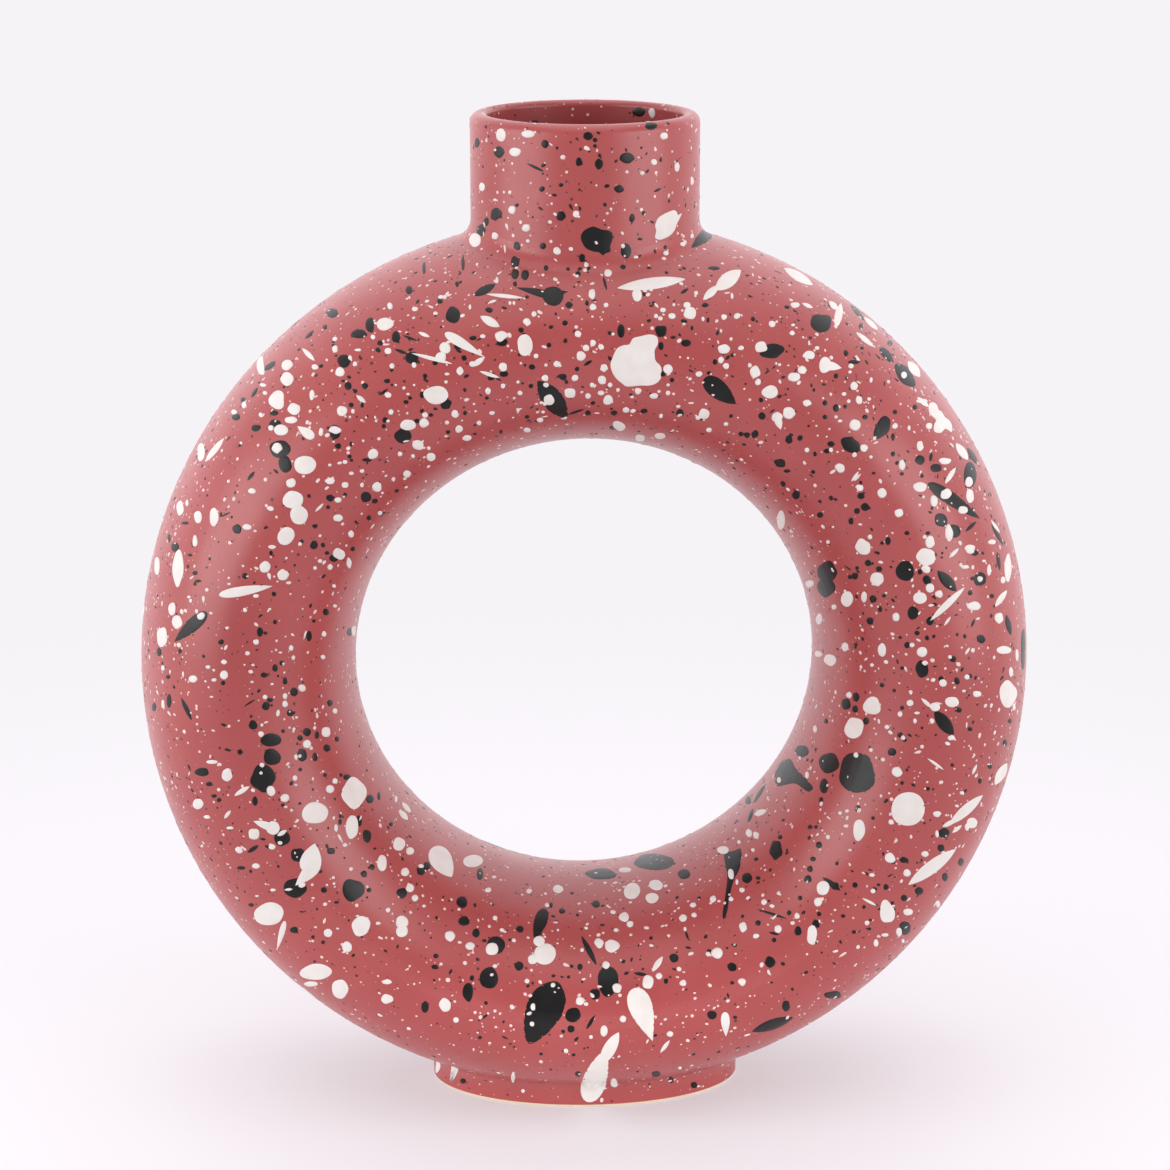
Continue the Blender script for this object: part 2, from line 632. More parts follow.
        (887, 912, 16, 24), (908, 912, 11, 8), (812, 935, 12, 20), (743, 927, 9, 12), (717, 953, 13),
        (742, 982, 9), (807, 775, 5, 8), (779, 780, 5, 7), (800, 758, 4, 5), (840, 813, 5),
        (847, 811, 5), (891, 822, 7, 6), (881, 796, 4, 5), (937, 814, 10, 7), (937, 834, 5, 8),
        (967, 827, 6, 8), (749, 833, 8, 9), (756, 835, 7, 8), (828, 837, 5, 6), (842, 834, 4),
        (850, 850, 5, 4), (753, 850, 5), (739, 842, 5), (925, 854, 9, 7), (872, 875, 7, 5),
        (873, 891, 6), (742, 890, 7, 6), (731, 899, 6), (764, 902, 7), (772, 906, 6, 5), (797, 916, 7),
        (778, 929, 8, 10), (756, 936, 8, 6), (835, 910, 4), (833, 921, 4), (867, 923, 6),
        (938, 904, 5, 8), (899, 932, 7, 10), (885, 935, 8, 5), (876, 943, 6, 9), (858, 947, 5),
        (903, 941, 4, 5), (871, 750, 5), (856, 755, 6, 7), (922, 746, 5, 4), (947, 743, 5, 4),
        (962, 793, 6, 5), (957, 806, 5, 4),
    ],
    "bottom": [
        (473, 861, 20, 14), (625, 870, 14, 6), (632, 891, 18, 17), (656, 885, 16, 11),
        (652, 898, 14, 12), (558, 889, 12, 9), (450, 936, 12), (470, 946, 10), (492, 949, 14),
        (545, 954, 24, 22), (539, 941, 12), (533, 959, 12), (599, 943, 11), (612, 946, 15),
        (624, 917, 11), (630, 924, 8), (617, 988, 11), (606, 965, 9), (553, 985, 6), (533, 1007, 6, 9),
        (532, 1024, 6), (580, 1001, 10), (648, 982, 12, 16), (604, 1031, 8, 14), (445, 1005, 13, 15),
        (456, 1020, 7), (438, 1065, 5, 16), (455, 1068, 8, 14), (513, 1078, 5, 9), (614, 1083, 9),
        (683, 918, 9), (683, 983, 8), (529, 891, 7, 6), (547, 905, 6, 5), (605, 883, 5, 3),
        (713, 899, 8), (693, 905, 8, 6), (694, 915, 7, 6), (685, 929, 4, 6), (613, 912, 7, 5),
        (616, 930, 6, 5), (586, 928, 5, 4), (582, 950, 5), (495, 918, 6), (502, 930, 6, 5),
        (488, 890, 8, 6), (494, 877, 6, 4), (558, 930, 4), (659, 976, 8), (679, 969, 6), (708, 954, 6),
        (441, 964, 5), (495, 966, 6, 5), (527, 981, 6), (512, 1007, 6), (495, 1011, 5),
        (586, 1004, 6, 5), (623, 1019, 8), (670, 1034, 8, 7), (591, 1037, 5), (566, 1051, 6),
        (523, 1091, 5), (680, 1068, 5, 4), (737, 882, 4, 7),
    ],
}
print("Round white drops:", how_many(white_rounds))

# %% Read the other white drops
white_tears = {
    "top": [(445, 333, 486, 358, 10, 1.4), (777, 417, 781, 430, 8, 1.0)],
    "left": [(219, 595, 273, 586, 10, 0.8)],
    "lower left": [
        (273, 828, 253, 821, 8, 1.0), (308, 874, 315, 843, 22, 0.8), (319, 862, 295, 886, 14, 1.0),
        (285, 921, 277, 950, 6, 1.0),
    ],
    "upper right": [(825, 365, 842, 368, 9, 1.0)],
    "lower right": [(725, 1012, 726, 1037, 9, 1.0)],
    "bottom": [
        (433, 847, 452, 877, 22, 0.6), (634, 988, 653, 1042, 24, 1.2), (587, 1102, 606, 1049, 24, 0.7),
    ],
    "upper left": [(314, 438, 297, 426, 10, 0.9)],
}
white_streaks = {
    "top": [
        (617, 288, 686, 279, 12), (486, 294, 524, 298, 4), (480, 316, 500, 327, 9),
        (479, 371, 500, 378, 4), (488, 303, 497, 300, 3), (471, 367, 485, 357, 6),
        (411, 353, 453, 364, 4), (715, 290, 741, 270, 15), (703, 300, 719, 285, 8),
        (418, 332, 430, 337, 4),
    ],
    "upper left": [
        (205, 462, 224, 438, 6), (302, 348, 315, 361, 5), (356, 395, 366, 403, 5),
        (315, 512, 324, 503, 3),
    ],
    "lower left": [
        (234, 796, 250, 786, 5), (277, 836, 287, 830, 5), (224, 819, 231, 810, 4),
        (284, 890, 293, 889, 3), (399, 810, 408, 820, 6), (402, 802, 411, 813, 5),
    ],
    "upper right": [
        (784, 268, 813, 285, 9), (945, 484, 956, 467, 5), (841, 303, 836, 328, 8),
        (829, 301, 838, 310, 6), (802, 303, 813, 308, 4), (856, 332, 874, 347, 5),
        (864, 317, 878, 330, 5), (917, 397, 929, 407, 5), (956, 443, 968, 460, 8),
        (851, 482, 859, 471, 3), (908, 361, 920, 377, 9),
    ],
    "right": [
        (965, 587, 930, 621, 7), (995, 607, 1007, 590, 6), (949, 558, 959, 548, 4),
        (944, 626, 951, 616, 3), (965, 655, 970, 647, 3), (991, 520, 1000, 533, 3),
        (921, 698, 932, 708, 4),
    ],
    "lower right": [
        (949, 825, 983, 795, 10), (956, 849, 908, 885, 13), (754, 815, 767, 810, 6),
        (942, 827, 956, 820, 5), (952, 833, 962, 825, 4), (862, 898, 877, 906, 3),
        (927, 758, 944, 770, 3), (995, 785, 1007, 763, 9), (972, 775, 977, 764, 3),
    ],
    "bottom": [(663, 956, 652, 972, 6), (660, 1053, 670, 1040, 4), (619, 1032, 600, 1066, 13)],
}
white_shapes = {
    "neck": [
        [
            (646, 226), (647, 222), (649, 218), (653, 215), (659, 212), (665, 210), (668, 212),
            (669, 215), (673, 213), (671, 218), (668, 224), (666, 230), (662, 235), (657, 238),
            (651, 240), (646, 238), (647, 231),
        ],
    ],
    "top": [
        [
            (610, 365), (612, 358), (614, 353), (617, 348), (623, 345), (629, 344), (633, 338),
            (640, 336), (649, 334), (655, 335), (658, 338), (658, 344), (655, 350), (655, 356),
            (656, 361), (660, 365), (662, 370), (661, 375), (661, 379), (656, 384), (649, 386),
            (640, 386), (627, 387), (622, 384), (616, 379), (612, 373),
        ],
    ],
    "upper right": [
        [
            (929, 404), (933, 402), (937, 405), (938, 409), (942, 412), (945, 417), (949, 420),
            (952, 425), (952, 432), (948, 430), (945, 429), (942, 432), (938, 433), (934, 431),
            (934, 425), (936, 420), (932, 416), (929, 412),
        ],
    ],
}
print("Other white drops:", how_many(white_tears, white_streaks, white_shapes))

# %% Read the round black drops
black_rounds = {
    "neck": [
        (579, 136, 11, 9), (642, 126, 13, 8), (490, 152, 11, 12), (536, 144, 8, 9), (570, 162, 8, 9),
        (590, 164, 9, 12), (618, 158, 16, 11), (610, 189, 11, 8), (552, 216, 10, 11),
        (487, 214, 12, 13), (472, 230, 9, 12), (623, 218, 6, 9), (617, 251, 11, 16), (508, 246, 8),
        (534, 246, 7), (506, 262, 9, 12), (516, 275, 8, 11), (573, 258, 7, 9), (630, 112, 13, 10),
        (526, 122, 8, 4), (468, 143, 5, 10), (598, 186, 6, 4), (533, 189, 6), (477, 222, 6, 9),
        (631, 239, 5, 3), (552, 185, 5, 4), (586, 140, 5), (586, 146, 4), (548, 148, 4), (508, 205, 4),
    ],
    "top": [
        (553, 296, 22, 20), (453, 315, 15, 18), (714, 268, 11, 4), (424, 268, 3, 13), (463, 263, 3, 16),
        (661, 331, 12, 13), (621, 331, 8, 14), (502, 342, 13, 9), (446, 404, 12), (686, 343, 11, 8),
        (680, 413, 8, 9), (409, 290, 7, 9), (457, 284, 4, 6), (440, 301, 6), (515, 274, 8, 11),
        (515, 284, 4, 6), (569, 305, 8, 7), (546, 268, 5, 6), (578, 274, 6), (568, 269, 4),
        (587, 303, 4, 6), (565, 323, 6), (551, 327, 5, 4), (489, 310, 8, 6), (521, 330, 6),
        (473, 338, 8, 5), (458, 346, 9), (464, 358, 6), (435, 363, 6, 5), (532, 367, 7, 6),
        (525, 365, 4), (549, 345, 5), (504, 374, 10, 6), (491, 378, 8, 5), (425, 376, 5),
        (422, 395, 5, 7), (588, 413, 6), (593, 403, 5, 4), (563, 377, 8, 7), (577, 369, 5),
        (527, 417, 5, 4), (501, 432, 3, 5), (448, 432, 5, 4), (465, 413, 4, 5), (410, 398, 4),
        (531, 386, 5), (661, 346, 6, 9), (715, 362, 5, 6), (709, 373, 5, 4), (672, 380, 5),
        (663, 374, 5, 6), (614, 413, 7, 6), (644, 411, 8, 5), (761, 400, 5), (762, 416, 8),
        (741, 434, 6, 5), (747, 435, 7, 6), (755, 434, 8), (731, 416, 4), (705, 305, 7, 5),
        (753, 319, 5), (708, 320, 3, 6), (692, 328, 3, 5), (684, 321, 7, 4), (623, 267, 6, 5),
        (644, 294, 3, 5), (613, 428, 8, 4), (789, 438, 7, 6),
    ],
    "upper left": [
        (370, 325, 9, 16), (359, 334, 17, 9), (396, 337, 9, 12), (344, 361, 14), (412, 358, 14),
        (275, 424, 12, 10), (280, 449, 22, 18), (285, 464, 15, 17), (335, 432, 13, 14),
        (403, 436, 18, 16), (366, 497, 11), (332, 313, 13, 9), (325, 327, 5), (321, 366, 5, 4),
        (380, 343, 6), (378, 350, 6, 5), (348, 386, 8, 9), (355, 391, 5), (343, 381, 4, 3),
        (365, 386, 7), (387, 381, 7, 5), (392, 385, 4), (406, 402, 6, 4), (351, 405, 6, 5),
        (362, 405, 4, 6), (385, 420, 6), (431, 415, 5, 4), (417, 421, 6, 5), (256, 428, 9, 8),
        (274, 413, 9, 6), (236, 417, 9, 7), (243, 400, 5, 6), (338, 446, 7, 6), (351, 444, 3, 5),
        (367, 460, 10, 4), (330, 498, 8), (375, 501, 7, 5), (345, 495, 4, 5), (309, 496, 4),
        (397, 491, 5, 4), (369, 518, 6, 5), (427, 381, 4),
    ],
    "left": [
        (314, 545, 9), (237, 529, 10), (260, 632, 7, 10), (309, 636, 6, 11), (326, 612, 7),
        (169, 701, 5, 14), (294, 692, 9), (266, 706, 9), (253, 725, 10), (307, 732, 9),
        (302, 755, 11, 13), (327, 748, 8), (271, 740, 21, 14), (272, 757, 18), (263, 778, 26, 28),
        (323, 545, 5), (327, 553, 5, 4), (334, 558, 10, 8), (315, 526, 6, 4), (353, 549, 5),
        (245, 576, 7, 6), (271, 553, 4, 5), (274, 594, 5), (314, 621, 4), (275, 622, 4, 5),
        (350, 632, 6, 8), (221, 642, 6), (180, 651, 4, 5), (282, 663, 6, 5), (275, 668, 6, 8),
        (264, 675, 7, 6), (285, 681, 5, 8), (223, 683, 5), (270, 700, 6, 5), (290, 713, 7),
        (330, 703, 6, 7), (168, 677, 5, 4), (154, 707, 4, 9), (185, 523, 8, 3), (169, 538, 3, 9),
        (175, 547, 8, 10), (190, 555, 5, 3), (195, 573, 6, 4), (198, 581, 7, 3), (159, 652, 5, 9),
        (317, 735, 5, 8), (283, 731, 4), (300, 738, 6), (315, 757, 6, 9), (337, 739, 5, 6),
        (240, 752, 6),
    ],
    "lower left": [
        (202, 772, 15, 9), (359, 821, 7, 11), (367, 836, 9, 14), (282, 838, 17), (298, 855, 15),
        (295, 888, 24, 20), (353, 890, 23), (402, 893, 11), (294, 930, 9, 7), (209, 784, 7, 5),
        (214, 796, 6, 4), (219, 800, 5), (255, 801, 6, 10), (347, 777, 8, 6), (370, 799, 8, 9),
        (340, 822, 4, 6), (241, 868, 9, 4), (331, 851, 9, 7), (324, 890, 7, 6), (364, 874, 7),
        (372, 867, 6), (369, 890, 5), (421, 871, 9), (427, 866, 7, 9), (251, 905, 6, 4),
        (317, 909, 3, 4), (391, 824, 4, 5), (379, 796, 3, 9), (341, 775, 4), (325, 775, 4),
    ],
    "upper right": [
        (821, 323, 22, 19), (772, 351, 24, 16), (780, 463, 12, 9), (796, 495, 8, 10), (865, 507, 9),
        (970, 475, 13, 27), (936, 468, 12, 9), (920, 460, 10), (941, 520, 13, 15), (846, 353, 5, 7),
        (847, 378, 4), (862, 348, 4), (836, 376, 5, 6), (825, 403, 5, 6), (836, 408, 7, 8),
        (825, 417, 5), (865, 417, 6, 5), (895, 412, 5), (915, 407, 5, 6), (789, 440, 8), (800, 438, 6),
        (831, 444, 8, 6), (827, 451, 8, 5), (815, 454, 4, 5), (893, 454, 5), (893, 437, 4, 8),
        (890, 343, 5, 6), (861, 326, 5, 6), (813, 472, 5, 4), (787, 471, 7, 4), (783, 484, 6),
        (788, 389, 3), (814, 390, 3, 4), (787, 307, 6, 4), (897, 463, 4), (922, 476, 4), (955, 469, 4),
    ],
    "right": [
        (827, 572, 20, 22), (826, 587, 17, 22), (905, 571, 19, 22), (954, 531, 14), (980, 579, 14),
        (913, 613, 11, 15), (930, 621, 8, 10), (922, 669, 14, 18), (981, 639, 9), (846, 704, 10, 12),
        (856, 697, 7, 10), (802, 751, 13), (892, 752, 9), (1023, 649, 4, 45), (861, 496, 8, 7),
        (857, 511, 7, 6), (851, 521, 6, 7), (820, 515, 7, 6), (831, 498, 5), (907, 533, 5),
        (928, 533, 5, 4), (888, 541, 6, 9), (882, 543, 4), (868, 563, 7), (879, 569, 6, 7),
        (857, 568, 4), (855, 576, 7, 8), (850, 577, 5), (975, 553, 8, 6), (920, 572, 5, 6),
        (927, 580, 10), (970, 593, 5), (992, 596, 5), (873, 599, 8), (880, 609, 5, 6), (870, 621, 8),
        (917, 633, 6, 5), (927, 638, 5), (907, 645, 6, 7), (953, 659, 7), (941, 679, 6), (902, 668, 4),
        (855, 709, 7, 8), (866, 721, 7, 8), (826, 721, 4, 6), (882, 685, 5), (900, 735, 6),
        (922, 728, 4), (957, 681, 6, 8), (970, 676, 5), (959, 710, 6), (970, 729, 5), (1010, 721, 4, 5),
        (1005, 743, 5, 7), (990, 766, 5, 6), (980, 781, 4, 6),
    ],
    "lower right": [
        (857, 773, 38, 42), (829, 763, 21), (824, 786, 10, 14), (776, 850, 13, 20), (747, 878, 11),
        (944, 833, 11), (941, 848, 8), (835, 886, 9, 8), (905, 928, 12, 14), (816, 924, 9),
        (798, 931, 9), (732, 967, 10), (770, 962, 12), (712, 1015, 10), (833, 995, 17, 8),
        (786, 1006, 8, 12), (858, 809, 7), (821, 800, 5, 6), (873, 818, 4), (902, 783, 4),
        (810, 827, 5), (816, 827, 4), (780, 837, 5), (819, 845, 7), (813, 859, 6, 5), (810, 869, 6, 7),
        (808, 879, 8), (855, 885, 6), (756, 859, 5, 4), (758, 878, 5, 4), (886, 887, 6),
        (904, 860, 9, 7), (893, 862, 5, 4), (919, 891, 9, 8), (904, 898, 7), (961, 862, 6, 8),
        (945, 877, 6, 9), (800, 898, 5), (789, 913, 5), (819, 914, 5), (864, 907, 4), (758, 923, 6),
        (774, 940, 5), (854, 932, 5, 4), (748, 800, 6, 9),
    ],
    "bottom": [
        (480, 874, 7, 12), (601, 874, 32, 11), (654, 862, 41, 17), (684, 874, 13, 10), (462, 902, 12),
        (596, 904, 8), (464, 921, 11), (476, 933, 8, 10), (496, 945, 19), (489, 978, 18, 24),
        (468, 992, 11, 20), (519, 966, 10), (608, 981, 21, 32), (595, 994, 12), (573, 1015, 16),
        (571, 1029, 8), (425, 1007, 8, 12), (463, 1081, 6), (578, 1074, 6), (656, 1074, 9, 6),
        (671, 1080, 6), (694, 1085, 7), (674, 958, 10), (520, 929, 8), (472, 978, 5, 6), (486, 1003, 4),
        (435, 967, 8, 5), (436, 956, 6, 5), (551, 905, 4, 6), (562, 911, 7, 6), (556, 922, 3, 5),
        (580, 967, 6, 7), (666, 981, 5, 6), (541, 1054, 4, 3), (651, 938, 4), (699, 898, 4),
        (475, 905, 3, 5), (709, 951, 5, 4), (572, 893, 4, 3),
    ],
}
print("Round black drops:", how_many(black_rounds))

# %% Read the other black drops
black_tears = {
    "top": [(562, 298, 514, 287, 9, 1.0), (548, 296, 569, 291, 7, 1.0), (704, 378, 737, 405, 20, 0.7)],
    "left": [(207, 612, 173, 643, 14, 0.8)],
    "upper right": [(928, 483, 982, 520, 14, 0.7)],
    "bottom": [(545, 908, 534, 941, 14, 0.8)],
}
black_streaks = {
    "neck": [(517, 163, 536, 172, 3), (687, 243, 705, 229, 13), (644, 192, 653, 188, 3)],
    "top": [
        (473, 296, 496, 284, 9), (537, 380, 568, 419, 22), (567, 415, 585, 409, 3),
        (583, 366, 593, 360, 4), (680, 294, 689, 288, 4), (603, 276, 607, 291, 3),
        (402, 335, 418, 341, 3),
    ],
    "left": [(181, 697, 192, 721, 5), (220, 517, 231, 512, 2), (243, 707, 256, 699, 2)],
    "right": [
        (937, 570, 957, 592, 12), (934, 710, 954, 736, 14), (965, 532, 977, 521, 4),
        (991, 524, 1004, 546, 4), (997, 551, 1000, 571, 4), (971, 628, 975, 618, 3),
        (1006, 614, 1011, 636, 6),
    ],
    "lower right": [
        (756, 909, 788, 919, 3), (751, 1032, 794, 1017, 11), (822, 877, 841, 891, 6),
        (768, 932, 780, 935, 3), (748, 823, 753, 808, 4), (753, 804, 766, 783, 4),
    ],
    "bottom": [
        (581, 935, 597, 966, 6), (633, 973, 648, 975, 4), (586, 1030, 595, 1015, 4),
        (685, 930, 689, 941, 3),
    ],
    "upper right": [
        (847, 362, 861, 362, 5), (967, 447, 978, 465, 6), (850, 304, 865, 321, 5),
        (930, 462, 932, 452, 4),
    ],
    "upper left": [
        (263, 371, 276, 361, 6), (305, 339, 314, 330, 4), (394, 349, 408, 354, 4),
        (378, 396, 389, 388, 3), (251, 398, 258, 387, 4), (247, 481, 255, 471, 4),
    ],
    "lower left": [(247, 853, 259, 845, 5)],
}
black_shapes = {
    "neck": [
        [
            (571, 238), (572, 233), (576, 229), (583, 226), (588, 227), (593, 229), (600, 230),
            (604, 233), (604, 240), (602, 246), (602, 252), (597, 254), (594, 256), (590, 253),
            (584, 252), (577, 249), (573, 244),
        ],
    ],
    "bottom": [
        [
            (552, 980), (559, 981), (564, 988), (567, 999), (565, 1008), (562, 1017), (555, 1026),
            (548, 1034), (539, 1041), (532, 1045), (527, 1044), (524, 1037), (523, 1025), (524, 1013),
            (527, 1001), (532, 992), (541, 984),
        ],
    ],
    "lower right": [
        [
            (724, 852), (733, 850), (742, 848), (740, 868), (734, 880), (730, 896), (726, 918),
            (722, 918), (725, 896), (727, 876), (725, 864),
        ],
        [
            (774, 774), (780, 762), (790, 758), (796, 768), (806, 778), (814, 788), (808, 792),
            (796, 784), (786, 785), (776, 786),
        ],
    ],
    "upper right": [
        [
            (894, 365), (897, 363), (902, 364), (908, 367), (913, 375), (916, 383), (915, 387),
            (910, 387), (903, 384), (898, 378), (895, 371),
        ],
        [
            (879, 349), (883, 347), (889, 351), (892, 356), (894, 362), (891, 363), (886, 360),
            (881, 355),
        ],
        [
            (885, 415), (890, 418), (891, 424), (889, 432), (883, 437), (877, 440), (874, 439),
            (873, 433), (876, 425), (880, 418),
        ],
        [
            (840, 440), (843, 437), (852, 436), (855, 439), (860, 443), (861, 450), (858, 453),
            (853, 454), (845, 451), (841, 445),
        ],
    ],
}
print("Other black drops:", how_many(black_tears, black_streaks, black_shapes))

# %% Lay the drops that were read
black_height = 0.00010
white_height = 0.00018
read_uneven = 0.10
drawn_steps = 4
pixels_per_metre = 3940
steepest_slant = 0.12
reach_out = 0.006
reach_in = 0.012
depth_reaches = 3
depth_slack = 0.002
black_trim = -0.5  # pixels off the width of a round drop, whose blurred edge hides its true one
white_trim = 0.8
part_shifts = {"neck": 9}  # pixels. The photograph has the neck this far left of the ring's middle


def surface_of(*meshes):
    """A search tree over point and face lists."""
    points = []
    faces = []
    for mesh_points, mesh_faces in meshes:
        faces += [tuple(k + len(points) for k in face) for face in mesh_faces]
        points += mesh_points
    return BVHTree.FromPolygons(points, faces)


def points_and_faces(node):
    """A node's points and faces as plain lists."""
    mesh = node.data
    return [v.co.copy() for v in mesh.vertices], [tuple(p.vertices) for p in mesh.polygons]


def drop_down(surface, point, normal):
    """The place under a point, straight down onto the surface, with that normal."""
    place, _, _, _ = surface.ray_cast(point + normal * reach_out, -normal, reach_out + reach_in)
    return place and (place, normal)


def lay_read_drop(drops, surface, x, y, outline, height):
    """Lays a drop whose outline is drawn in pixels round the pixel x, y."""
    middle, normal, _, far = glaze_surface.ray_cast(eye, pixel_ray(x, y))
    if middle is None:
        return False
    reach = max(math.hypot(across, down) for across, down in outline) * far / focal_pixels

    def by_sight(across, down):
        """Where the camera sees that pixel on the glaze."""
        ray = pixel_ray(x + across, y + down)
        _, facing, _, _ = glaze_surface.ray_cast(eye, ray)
        place, _, _, distance = surface.ray_cast(eye, ray)
        if place is None or facing is None or abs(distance - far) > depth_reaches * reach + depth_slack:
            return None
        return place, facing

    def by_plane(across, down):
        """The same near the vase's outline, by way of the plane that touches the glaze."""
        ray = pixel_ray(x + across, y + down)
        slant = min(ray.dot(normal), -steepest_slant)
        return drop_down(surface, eye + ray * ((middle - eye).dot(normal) / slant), normal)

    size = reach / max(-normal.dot(pixel_ray(x, y)), steepest_slant)
    return drops.add(by_sight, outline, size, height) or drops.add(by_plane, outline, size, height)


def slanted(head_x, head_y, tail_x, tail_y, wide, point):
    """The middle and outline of a tear between two pixels, or of a streak if point is None."""
    length = math.hypot(tail_x - head_x, tail_y - head_y)
    along = ((tail_x - head_x) / length, (tail_y - head_y) / length)
    count = corner_count(length / pixels_per_metre)
    shape = lens(length, wide, count) if point is None else tear(length, wide, point, count)
    start = length / 2 if point is None else min(wide / 2, length / 2)
    outline = [
        ((a - start) * along[0] - c * along[1], (a - start) * along[1] + c * along[0])
        for a, c in shape
    ]
    return head_x + along[0] * start, head_y + along[1] * start, outline


def read_marks(shapes, rounds, tears, streaks, trim):
    """Every drop that was read, as its pixel and its outline round that pixel."""
    marks = [(part, *drawn(corners, drawn_steps)) for part, there in shapes.items() for corners in there]
    for part, there in rounds.items():
        for x, y, *sides in there:
            count = corner_count(max(sides) / pixels_per_metre)
            outline = blob(sides[0] - trim, sides[-1] - trim, read_uneven, count)
            marks.append((part, x, y, outline))
    marks += [(part, *slanted(*drop)) for part, there in tears.items() for drop in there]
    marks += [(part, *slanted(*drop, None)) for part, there in streaks.items() for drop in there]
    return [(x + part_shifts.get(part, 0), y, outline) for part, x, y, outline in marks]


def lay_read_drops(drops, surface, marks, height):
    """Lays the drops of one glaze that were read, and names those that miss the vase."""
    missed = [
        (round(x), round(y))
        for x, y, outline in marks
        if not lay_read_drop(drops, surface, x, y, outline, height)
    ]
    print(drops.name, drops.count, "laid from the photograph, not on the vase:", missed)


bare_glaze = points_and_faces(nodes["glaze_coat"])
glaze_surface = surface_of(bare_glaze)
black_drops = DropMesh("black_drops")
black_marks = read_marks(black_shapes, black_rounds, black_tears, black_streaks, black_trim)
lay_read_drops(black_drops, glaze_surface, black_marks, black_height)

# %% [markdown]
# ## The spray all round
# The rest of the splatter is thrown by a small simulation. Each flick of the brush has a place and
# an aim, and sends a cone of drops. Where one meets the glaze it leaves a mark, longer the more it
# slants, with its tail along its way. Sizes follow the square law that spatter shows: four times as
# many drops at half the size. On the side that the photograph shows, the large drops are those that
# were read, so the spray adds only small ones there.

# %% Throw the spray
flicks = 430
drops_per_flick = 60
flick_distance = 0.45
flick_spread = 0.12
flick_lift = 0.25
flick_lift_spread = 0.7
aim_reach = (0.12, 0.05, 0.13)
smallest_drop = 0.0007
largest_drop = 0.0105
largest_seen_drop = 0.0013
white_share = 0.42
stray_share = 0.2
least_slant = 0.15
sight_slack = 0.001


def seen_by_camera(surface, place, normal):
    """Whether the photograph shows this place."""
    way = place - eye
    if way.dot(normal) > 0:
        return False
    hit, _, _, _ = surface.ray_cast(eye, way.normalized(), way.length - sight_slack)
    return hit is None


def flick_marks(surface):
    """Marks as (place, normal, way, size, is white) where the thrown drops land."""
    marks = []
    middle = (cad_low + cad_high) / 2
    for _ in range(flicks):
        way = Vector((rng.gauss(0, 1), rng.gauss(0, 1), rng.gauss(flick_lift, flick_lift_spread)))
        source = middle + way.normalized() * flick_distance
        aim = middle + Vector([rng.uniform(-reach, reach) for reach in aim_reach])
        white = rng.random() < white_share
        for _ in range(drops_per_flick):
            swerve = Vector([rng.gauss(0, flick_spread) for _ in range(3)])
            fly = ((aim - source).normalized() + swerve).normalized()
            size = min(largest_drop, smallest_drop / math.sqrt(1 - rng.random()))
            stray = rng.random() < stray_share
            place, normal, _, _ = surface.ray_cast(source, fly)
            if place is None or fly.dot(normal) > -least_slant:
                continue
            if size > largest_seen_drop and seen_by_camera(surface, place, normal):
                continue
            marks.append((place, normal, fly, size, white != stray))
    return marks


marks = flick_marks(glaze_surface)
print("Marks thrown:", len(marks))

# %% Lay the black spray
most_stretch = 2.4
stretch_power = -0.6
tear_stretch = 1.35
tear_share = 0.35
tear_points = (0.5, 1.1)
thrown_uneven = 0.12
thin_below = 0.0016
black_rise = 0.09
white_rise = 0.12


def lay_mark(drops, surface, place, normal, fly, size, height):
    """Lays one thrown drop, stretched along its way by its slant."""
    slant = -fly.dot(normal)
    along = (fly + normal * slant).normalized()
    across = normal.cross(along)
    stretch = min(most_stretch, slant**stretch_power)
    count = corner_count(size * stretch)
    wide = size / math.sqrt(stretch)
    if stretch > tear_stretch and rng.random() < tear_share:
        shape = tear(size * stretch, wide, rng.uniform(*tear_points), count)
        shape = [(a - wide / 2, c) for a, c in shape]
    else:
        shape = blob(size * stretch**0.5, wide, thrown_uneven, count)

    def lay(a, c):
        """Where an offset along and across the drop's way lands."""
        return drop_down(surface, place + along * a + across * c, normal)

    drops.add(lay, shape, size * stretch / 2, height)


def lay_spray(white, surface, large, small, height, rise):
    """Lays the thrown drops of one glaze. The small ones get a mesh of their own."""
    for place, normal, fly, size, is_white in marks:
        if is_white == white:
            drops = small if size < thin_below else large
            lay_mark(drops, surface, place, normal, fly, size, min(height, size * rise))


black_specks = DropMesh("black_specks")
lay_spray(False, glaze_surface, black_drops, black_specks, black_height, black_rise)
print("Black specks laid:", black_specks.count)

# %% Lay the white over the black
splattered = surface_of(
    bare_glaze, (black_drops.points, black_drops.faces), (black_specks.points, black_specks.faces)
)
white_drops = DropMesh("white_drops")
white_marks = read_marks(white_shapes, white_rounds, white_tears, white_streaks, white_trim)
lay_read_drops(white_drops, splattered, white_marks, white_height)
white_specks = DropMesh("white_specks")
lay_spray(True, splattered, white_drops, white_specks, white_height, white_rise)
for drops, material in (
    (black_drops, black_glaze),
    (black_specks, thin_black_glaze),
    (white_drops, white_glaze),
    (white_specks, thin_white_glaze),
):
    drops.build(material)

# %% [markdown]
# ## Floor, backdrop and light
# The photograph is a white studio with a large soft light on each side, weaker ones above the
# camera and above the vase, and a low fill for the foot. The room behind the camera is darker, which
# keeps the black drops black. The floor is pale and catches a soft pink shadow. Part of what it
# shows is its own glow, which keeps it near white without more light on the vase.

# %% Lay the floor
floor_radius = 6.0
floor_corners = 96
floor_white = colour(246, 243, 247)
near_glow = 0.40
far_glow = 1.0
bounce_glow = 0.85
matt_share = 0.87
front_gloss = 0.7
back_gloss = 1.4
back_slope = 2.0
back_start = 0.5
glow_start = 0.10
glow_end = 0.50


def dimmed(paint, share):
    """A colour at a share of its strength, or above 1 at a multiple of it."""
    return (*[channel * share for channel in paint[:3]], 1.0)


